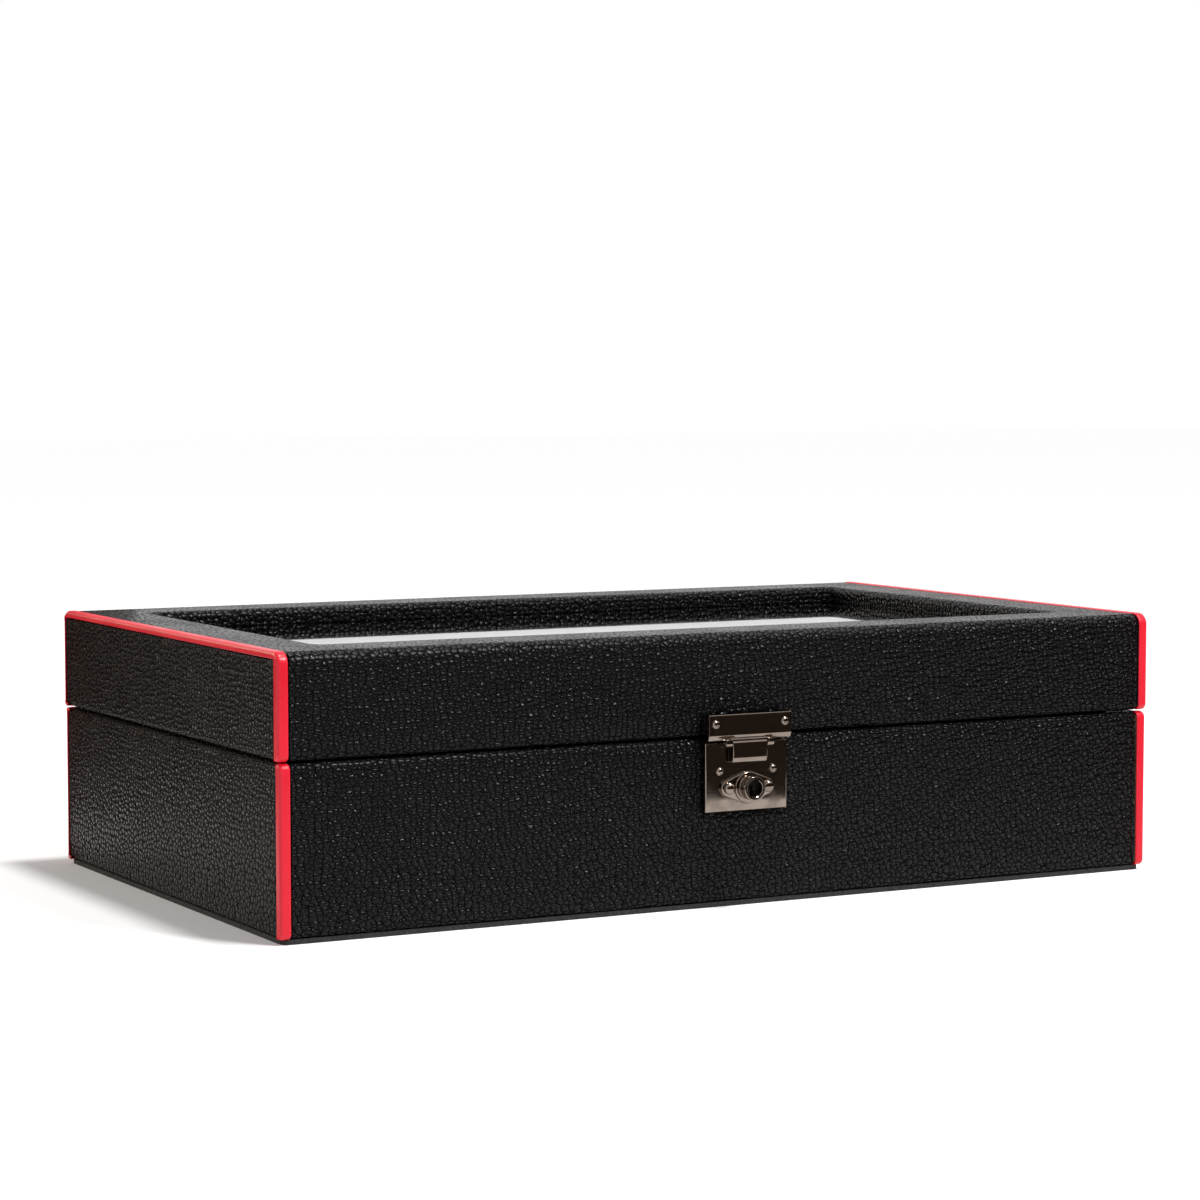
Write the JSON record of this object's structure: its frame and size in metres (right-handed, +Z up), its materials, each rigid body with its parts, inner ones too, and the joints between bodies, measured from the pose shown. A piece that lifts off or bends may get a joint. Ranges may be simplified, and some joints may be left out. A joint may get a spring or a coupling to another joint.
{
  "type": "watch box",
  "caption": "Leather-covered watch box with a hinged glass-window lid, red piping, watch pillows in divided places and a slide lock with a hasp.",
  "frame": {"origin": "centre of the underside, on the surface the box stands on", "axes": "+X along the length to the right seen from the lock, +Y from the lock to the rear hinges, +Z up"},
  "size_m": [0.33, 0.2111, 0.0905],
  "materials": {
    "black_leather": "pebble-grained, semi-matte",
    "red_leather": "smooth, semi-gloss",
    "gunmetal": "polished warm gunmetal",
    "board": "raw fibreboard",
    "suede": "brushed microsuede",
    "pillow_suede": "brushed microsuede",
    "glass": "clear, polished",
    "base_card": "matte, fine texture",
    "spring_steel": "plain"
  },
  "bodies": {
    "body": {"base_sheet": "base_card", "body_floor_board": "board", "body_front_board": "board", "body_rear_board": "board", "body_left_board": "board", "body_right_board": "board", "body_front_cover": "black_leather", "body_rear_cover": "black_leather", "body_left_cover": "black_leather", "body_right_cover": "black_leather", "body_piping_left": "red_leather", "body_piping_right": "red_leather", "body_lining": "suede", "floor_pad": "suede", "divider_long": "suede", "cross_dividers": "suede", "lock_plate": "gunmetal", "lock_case": "gunmetal", "bolt_spring": "spring_steel", "hinge_left_lower_leaf": "gunmetal", "hinge_left_pin": "gunmetal", "hinge_right_lower_leaf": "gunmetal", "hinge_right_pin": "gunmetal"},
    "lid": {"lid_front_rail": "board", "lid_rear_rail": "board", "lid_left_rail": "board", "lid_right_rail": "board", "lid_cover": "black_leather", "lid_left_cover": "black_leather", "lid_right_cover": "black_leather", "lid_piping_left": "red_leather", "lid_piping_right": "red_leather", "glass_pane": "glass", "glass_frame": "suede", "hasp_plate": "gunmetal", "hasp_pin": "gunmetal", "hinge_left_upper_leaf": "gunmetal", "hinge_right_upper_leaf": "gunmetal"},
    "hasp": {"hasp": "gunmetal"},
    "lock_slider": {"slider_flange": "gunmetal", "key_barrel": "gunmetal", "slider_studs": "gunmetal", "latch_bolt": "gunmetal"},
    "key_plug": {"key_plug": "gunmetal"},
    "pillow_1": {"pillow_1": "pillow_suede"},
    "pillow_2": {"pillow_2": "pillow_suede"},
    "pillow_3": {"pillow_3": "pillow_suede"},
    "pillow_4": {"pillow_4": "pillow_suede"},
    "pillow_5": {"pillow_5": "pillow_suede"},
    "pillow_6": {"pillow_6": "pillow_suede"},
    "pillow_7": {"pillow_7": "pillow_suede"},
    "pillow_8": {"pillow_8": "pillow_suede"},
    "pillow_9": {"pillow_9": "pillow_suede"},
    "pillow_10": {"pillow_10": "pillow_suede"},
    "pillow_11": {"pillow_11": "pillow_suede"},
    "pillow_12": {"pillow_12": "pillow_suede"}
  },
  "joints": [
    {"name": "lid_hinge", "type": "hinge", "parent": "body", "child": "lid", "pos_m": [0, 0.1003, 0.0563], "axis": [-1, 0, 0], "range_deg": [0, 95]},
    {"name": "hasp_hinge", "type": "hinge", "parent": "lid", "child": "hasp", "pos_m": [0, -0.1009, 0.0542], "axis": [-1, 0, 0], "range_deg": [0, 95]},
    {"name": "lock_slide", "type": "slide", "parent": "body", "child": "lock_slider", "axis": [1, 0, 0], "range_m": [0, 0.003], "stiffness_N_per_m": 200, "springref_m": -0.001, "deforming": ["bolt_spring"]},
    {"name": "key_turn", "type": "hinge", "parent": "lock_slider", "child": "key_plug", "pos_m": [0, -0.1, 0.0395], "axis": [0, 1, 0], "range_deg": [0, 90]},
    {"name": "pillow_1_lift", "type": "slide", "parent": "body", "child": "pillow_1", "axis": [0, 0, 1], "range_m": [0, 0.03]},
    {"name": "pillow_2_lift", "type": "slide", "parent": "body", "child": "pillow_2", "axis": [0, 0, 1], "range_m": [0, 0.03]},
    {"name": "pillow_3_lift", "type": "slide", "parent": "body", "child": "pillow_3", "axis": [0, 0, 1], "range_m": [0, 0.03]},
    {"name": "pillow_4_lift", "type": "slide", "parent": "body", "child": "pillow_4", "axis": [0, 0, 1], "range_m": [0, 0.03]},
    {"name": "pillow_5_lift", "type": "slide", "parent": "body", "child": "pillow_5", "axis": [0, 0, 1], "range_m": [0, 0.03]},
    {"name": "pillow_6_lift", "type": "slide", "parent": "body", "child": "pillow_6", "axis": [0, 0, 1], "range_m": [0, 0.03]},
    {"name": "pillow_7_lift", "type": "slide", "parent": "body", "child": "pillow_7", "axis": [0, 0, 1], "range_m": [0, 0.03]},
    {"name": "pillow_8_lift", "type": "slide", "parent": "body", "child": "pillow_8", "axis": [0, 0, 1], "range_m": [0, 0.03]},
    {"name": "pillow_9_lift", "type": "slide", "parent": "body", "child": "pillow_9", "axis": [0, 0, 1], "range_m": [0, 0.03]},
    {"name": "pillow_10_lift", "type": "slide", "parent": "body", "child": "pillow_10", "axis": [0, 0, 1], "range_m": [0, 0.03]},
    {"name": "pillow_11_lift", "type": "slide", "parent": "body", "child": "pillow_11", "axis": [0, 0, 1], "range_m": [0, 0.03]},
    {"name": "pillow_12_lift", "type": "slide", "parent": "body", "child": "pillow_12", "axis": [0, 0, 1], "range_m": [0, 0.03]}
  ]
}
